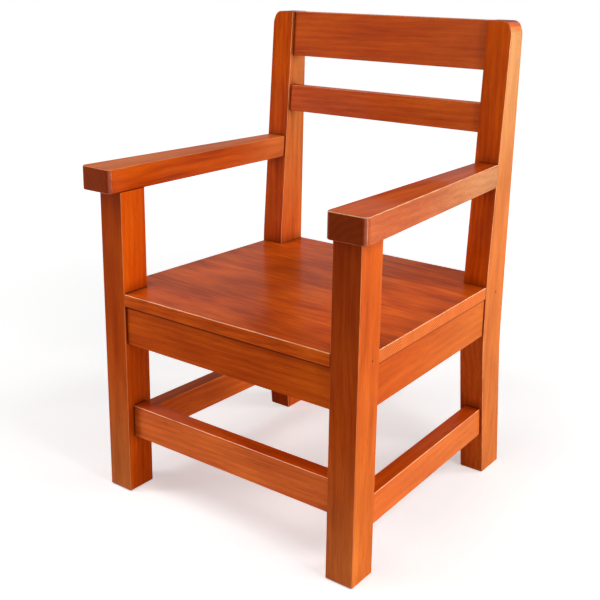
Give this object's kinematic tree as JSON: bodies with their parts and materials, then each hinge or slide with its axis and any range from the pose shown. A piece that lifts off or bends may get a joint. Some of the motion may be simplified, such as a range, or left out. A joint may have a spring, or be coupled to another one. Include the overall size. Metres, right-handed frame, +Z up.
{
  "type": "nursing chair",
  "caption": "Low wooden armchair with a slatted raked back, flat board seat, broad tapered arms and square legs joined by stretchers, in a glossy reddish-brown finish",
  "frame": {"origin": "on the floor, under the middle of the chair's overall width and depth", "axes": "+Z up, -Y towards the front of the chair, +X to the right as seen from the front"},
  "size_m": [0.5934, 0.5642, 0.866],
  "materials": {
    "frame_wood": "reddish-brown stain under gloss lacquer",
    "seat_wood": "reddish-brown stain under gloss lacquer, grain from side to side",
    "block_wood": "bare sawn wood",
    "steel": "plain bright steel"
  },
  "bodies": {
    "root": {"arm_left": "frame_wood", "arm_right": "frame_wood", "back_slat": "frame_wood", "corner_block_front_left": "block_wood", "corner_block_front_right": "block_wood", "corner_block_rear_left": "block_wood", "corner_block_rear_right": "block_wood", "crest_rail": "frame_wood", "front_apron": "frame_wood", "front_leg_left": "frame_wood", "front_leg_right": "frame_wood", "front_stretcher": "frame_wood", "rear_apron": "frame_wood", "rear_post_left": "frame_wood", "rear_post_right": "frame_wood", "seat_board_1": "seat_wood", "seat_board_2": "seat_wood", "seat_board_3": "seat_wood", "seat_board_4": "seat_wood", "seat_nails": "steel", "seat_screws": "steel", "side_apron_left": "frame_wood", "side_apron_right": "frame_wood", "side_stretcher_left": "frame_wood", "side_stretcher_right": "frame_wood"}
  },
  "joints": []
}
